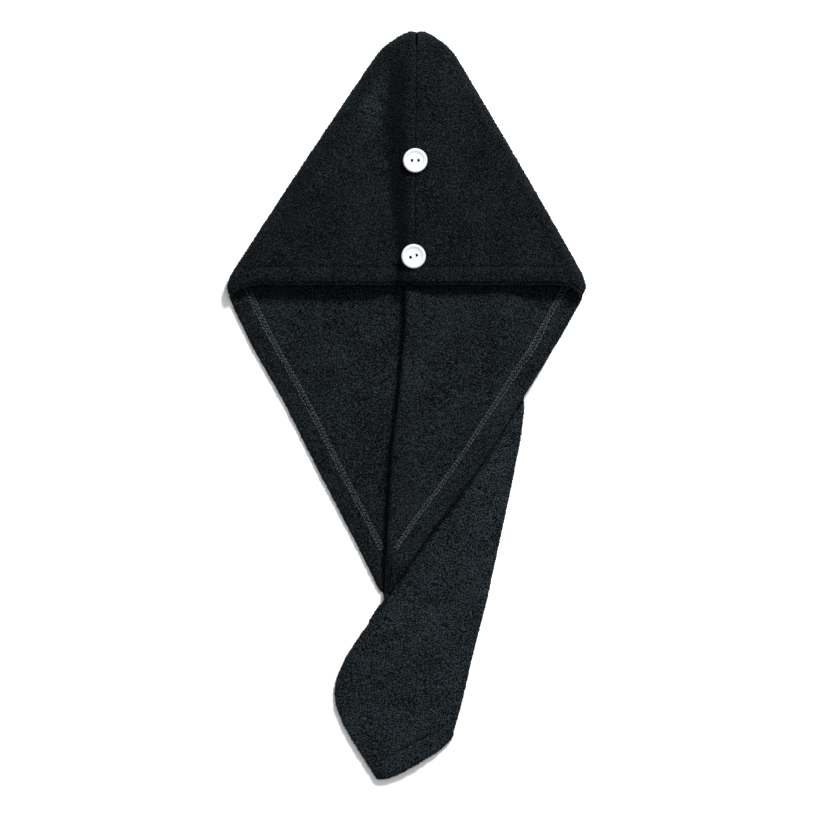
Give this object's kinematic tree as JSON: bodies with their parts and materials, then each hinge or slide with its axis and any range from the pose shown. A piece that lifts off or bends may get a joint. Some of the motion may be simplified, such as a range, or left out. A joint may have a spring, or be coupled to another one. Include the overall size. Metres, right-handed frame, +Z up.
{
  "type": "hair turban towel",
  "caption": "Hooded fleece hair wrap laid flat on its back, with a wide head opening, a long tail to twist and two round buttons on the front seam.",
  "frame": {"origin": "on the surface it lies on, under the middle of its length and width", "axes": "+Y along the towel towards the hood's peak, +X to the right as seen from above with the buttons up, +Z up through the cloth layers"},
  "size_m": [0.312, 0.6512, 0.0292],
  "materials": {
    "fleece": "very dark grey-green coral fleece with a soft curly pile",
    "button": "smooth white resin, slightly glossy",
    "thread": "white sewing thread"
  },
  "bodies": {
    "root": {"left_panel": "fleece", "right_panel": "fleece", "front_hem_left": "fleece", "front_hem_right": "fleece", "throat_hem_left": "fleece", "throat_hem_right": "fleece", "upper_button": "button", "upper_button_thread": "thread", "lower_button": "button", "lower_button_thread": "thread"}
  },
  "joints": []
}
